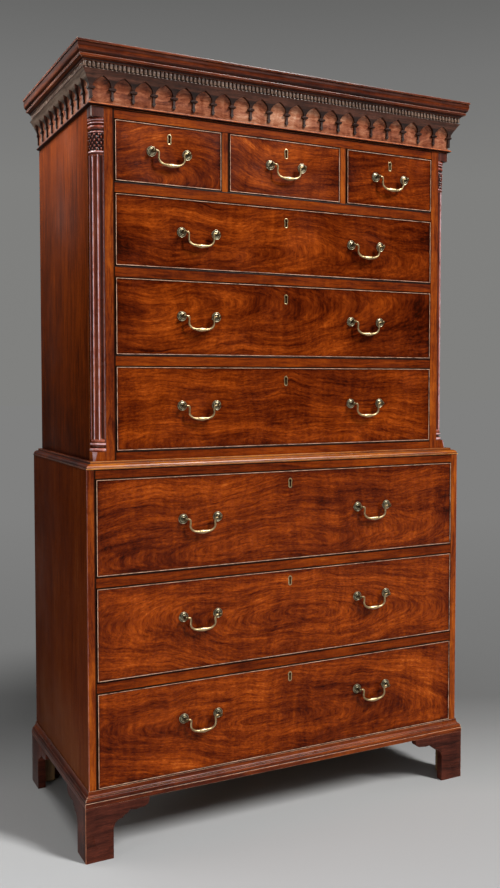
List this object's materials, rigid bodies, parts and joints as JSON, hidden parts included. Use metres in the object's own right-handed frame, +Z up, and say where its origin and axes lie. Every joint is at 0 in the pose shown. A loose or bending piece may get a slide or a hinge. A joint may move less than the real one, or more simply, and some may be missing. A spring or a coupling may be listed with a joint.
{
  "type": "chest on chest",
  "caption": "Tall two-part mahogany chest of drawers on bracket feet, with fluted quarter columns, fretwork under the cornice and brass swan-neck handles.",
  "frame": {"origin": "on the floor, under the middle of the whole chest", "axes": "+X to the right as seen from the front, the drawers open towards -Y, +Z up"},
  "size_m": [1.078, 0.52, 1.8416],
  "materials": {
    "polished_mahogany": "old mahogany, waxed to a satin gloss, red brown",
    "figured_mahogany": "figured mahogany drawer fronts, polished, orange to dark brown",
    "carved_mahogany": "carved and fluted mahogany, dark in the hollows",
    "drawer_lining_oak": "plain dry oak and pine, unpolished",
    "aged_brass": "old lacquered brass, pale on the worn edges"
  },
  "bodies": {
    "chest_case": {"lower_side_left": "polished_mahogany", "lower_side_right": "polished_mahogany", "lower_bottom_board": "drawer_lining_oak", "lower_top_board": "polished_mahogany", "lower_divider_2": "polished_mahogany", "lower_divider_1": "polished_mahogany", "lower_back": "drawer_lining_oak", "base_moulding": "polished_mahogany", "waist_moulding": "polished_mahogany", "foot_front_left": "polished_mahogany", "foot_front_right": "polished_mahogany", "foot_back_left": "polished_mahogany", "foot_back_right": "polished_mahogany", "upper_side_left": "polished_mahogany", "upper_side_right": "polished_mahogany", "quarter_column_left": "carved_mahogany", "quarter_column_right": "carved_mahogany", "upper_bottom_board": "polished_mahogany", "upper_top_board": "polished_mahogany", "upper_divider_2": "polished_mahogany", "upper_divider_1": "polished_mahogany", "small_drawer_divider": "polished_mahogany", "upper_back": "drawer_lining_oak", "frieze": "polished_mahogany", "fretwork": "carved_mahogany", "cornice": "polished_mahogany", "top_cover": "drawer_lining_oak"},
    "lower_drawer_1": {"lower_drawer_1_front": "figured_mahogany", "lower_drawer_1_box": "drawer_lining_oak"},
    "lower_drawer_2": {"lower_drawer_2_front": "figured_mahogany", "lower_drawer_2_box": "drawer_lining_oak"},
    "lower_drawer_3": {"lower_drawer_3_front": "figured_mahogany", "lower_drawer_3_box": "drawer_lining_oak"},
    "upper_drawer_1": {"upper_drawer_1_front": "figured_mahogany", "upper_drawer_1_box": "drawer_lining_oak"},
    "upper_drawer_2": {"upper_drawer_2_front": "figured_mahogany", "upper_drawer_2_box": "drawer_lining_oak"},
    "upper_drawer_3": {"upper_drawer_3_front": "figured_mahogany", "upper_drawer_3_box": "drawer_lining_oak"},
    "small_drawer_left": {"small_drawer_left_front": "figured_mahogany", "small_drawer_left_box": "drawer_lining_oak"},
    "small_drawer_middle": {"small_drawer_middle_front": "figured_mahogany", "small_drawer_middle_box": "drawer_lining_oak"},
    "small_drawer_right": {"small_drawer_right_front": "figured_mahogany", "small_drawer_right_box": "drawer_lining_oak"},
    "lower_drawer_3_bail_left": {"lower_drawer_3_bail_left": "aged_brass"},
    "lower_drawer_3_bail_right": {"lower_drawer_3_bail_right": "aged_brass"},
    "lower_drawer_2_bail_left": {"lower_drawer_2_bail_left": "aged_brass"},
    "lower_drawer_2_bail_right": {"lower_drawer_2_bail_right": "aged_brass"},
    "lower_drawer_1_bail_left": {"lower_drawer_1_bail_left": "aged_brass"},
    "lower_drawer_1_bail_right": {"lower_drawer_1_bail_right": "aged_brass"},
    "upper_drawer_3_bail_left": {"upper_drawer_3_bail_left": "aged_brass"},
    "upper_drawer_3_bail_right": {"upper_drawer_3_bail_right": "aged_brass"},
    "upper_drawer_2_bail_left": {"upper_drawer_2_bail_left": "aged_brass"},
    "upper_drawer_2_bail_right": {"upper_drawer_2_bail_right": "aged_brass"},
    "upper_drawer_1_bail_left": {"upper_drawer_1_bail_left": "aged_brass"},
    "upper_drawer_1_bail_right": {"upper_drawer_1_bail_right": "aged_brass"},
    "small_drawer_left_bail": {"small_drawer_left_bail": "aged_brass"},
    "small_drawer_middle_bail": {"small_drawer_middle_bail": "aged_brass"},
    "small_drawer_right_bail": {"small_drawer_right_bail": "aged_brass"}
  },
  "joints": [
    {"name": "lower_drawer_1_slide", "type": "slide", "parent": "chest_case", "child": "lower_drawer_1", "axis": [0, -1, 0], "range_m": [0, 0.38]},
    {"name": "lower_drawer_2_slide", "type": "slide", "parent": "chest_case", "child": "lower_drawer_2", "axis": [0, -1, 0], "range_m": [0, 0.38]},
    {"name": "lower_drawer_3_slide", "type": "slide", "parent": "chest_case", "child": "lower_drawer_3", "axis": [0, -1, 0], "range_m": [0, 0.38]},
    {"name": "upper_drawer_1_slide", "type": "slide", "parent": "chest_case", "child": "upper_drawer_1", "axis": [0, -1, 0], "range_m": [0, 0.36]},
    {"name": "upper_drawer_2_slide", "type": "slide", "parent": "chest_case", "child": "upper_drawer_2", "axis": [0, -1, 0], "range_m": [0, 0.36]},
    {"name": "upper_drawer_3_slide", "type": "slide", "parent": "chest_case", "child": "upper_drawer_3", "axis": [0, -1, 0], "range_m": [0, 0.36]},
    {"name": "small_drawer_left_slide", "type": "slide", "parent": "chest_case", "child": "small_drawer_left", "axis": [0, -1, 0], "range_m": [0, 0.36]},
    {"name": "small_drawer_middle_slide", "type": "slide", "parent": "chest_case", "child": "small_drawer_middle", "axis": [0, -1, 0], "range_m": [0, 0.36]},
    {"name": "small_drawer_right_slide", "type": "slide", "parent": "chest_case", "child": "small_drawer_right", "axis": [0, -1, 0], "range_m": [0, 0.36]},
    {"name": "lower_drawer_3_bail_left_swing", "type": "hinge", "parent": "lower_drawer_3", "child": "lower_drawer_3_bail_left", "pos_m": [-0.243, -0.255, 0.2924], "axis": [-1, 0, 0], "range_deg": [-15, 165]},
    {"name": "lower_drawer_3_bail_right_swing", "type": "hinge", "parent": "lower_drawer_3", "child": "lower_drawer_3_bail_right", "pos_m": [0.243, -0.255, 0.2924], "axis": [-1, 0, 0], "range_deg": [-15, 165]},
    {"name": "lower_drawer_2_bail_left_swing", "type": "hinge", "parent": "lower_drawer_2", "child": "lower_drawer_2_bail_left", "pos_m": [-0.243, -0.255, 0.5363], "axis": [-1, 0, 0], "range_deg": [-15, 165]},
    {"name": "lower_drawer_2_bail_right_swing", "type": "hinge", "parent": "lower_drawer_2", "child": "lower_drawer_2_bail_right", "pos_m": [0.243, -0.255, 0.5363], "axis": [-1, 0, 0], "range_deg": [-15, 165]},
    {"name": "lower_drawer_1_bail_left_swing", "type": "hinge", "parent": "lower_drawer_1", "child": "lower_drawer_1_bail_left", "pos_m": [-0.243, -0.255, 0.7702], "axis": [-1, 0, 0], "range_deg": [-15, 165]},
    {"name": "lower_drawer_1_bail_right_swing", "type": "hinge", "parent": "lower_drawer_1", "child": "lower_drawer_1_bail_right", "pos_m": [0.243, -0.255, 0.7702], "axis": [-1, 0, 0], "range_deg": [-15, 165]},
    {"name": "upper_drawer_3_bail_left_swing", "type": "hinge", "parent": "upper_drawer_3", "child": "upper_drawer_3_bail_left", "pos_m": [-0.235, -0.232, 1.0365], "axis": [-1, 0, 0], "range_deg": [-15, 165]},
    {"name": "upper_drawer_3_bail_right_swing", "type": "hinge", "parent": "upper_drawer_3", "child": "upper_drawer_3_bail_right", "pos_m": [0.235, -0.232, 1.0365], "axis": [-1, 0, 0], "range_deg": [-15, 165]},
    {"name": "upper_drawer_2_bail_left_swing", "type": "hinge", "parent": "upper_drawer_2", "child": "upper_drawer_2_bail_left", "pos_m": [-0.235, -0.232, 1.2479], "axis": [-1, 0, 0], "range_deg": [-15, 165]},
    {"name": "upper_drawer_2_bail_right_swing", "type": "hinge", "parent": "upper_drawer_2", "child": "upper_drawer_2_bail_right", "pos_m": [0.235, -0.232, 1.2479], "axis": [-1, 0, 0], "range_deg": [-15, 165]},
    {"name": "upper_drawer_1_bail_left_swing", "type": "hinge", "parent": "upper_drawer_1", "child": "upper_drawer_1_bail_left", "pos_m": [-0.235, -0.232, 1.4446], "axis": [-1, 0, 0], "range_deg": [-15, 165]},
    {"name": "upper_drawer_1_bail_right_swing", "type": "hinge", "parent": "upper_drawer_1", "child": "upper_drawer_1_bail_right", "pos_m": [0.235, -0.232, 1.4446], "axis": [-1, 0, 0], "range_deg": [-15, 165]},
    {"name": "small_drawer_left_bail_swing", "type": "hinge", "parent": "small_drawer_left", "child": "small_drawer_left_bail", "pos_m": [-0.3093, -0.232, 1.6247], "axis": [-1, 0, 0], "range_deg": [-15, 165]},
    {"name": "small_drawer_middle_bail_swing", "type": "hinge", "parent": "small_drawer_middle", "child": "small_drawer_middle_bail", "pos_m": [0, -0.232, 1.6247], "axis": [-1, 0, 0], "range_deg": [-15, 165]},
    {"name": "small_drawer_right_bail_swing", "type": "hinge", "parent": "small_drawer_right", "child": "small_drawer_right_bail", "pos_m": [0.3093, -0.232, 1.6247], "axis": [-1, 0, 0], "range_deg": [-15, 165]}
  ]
}
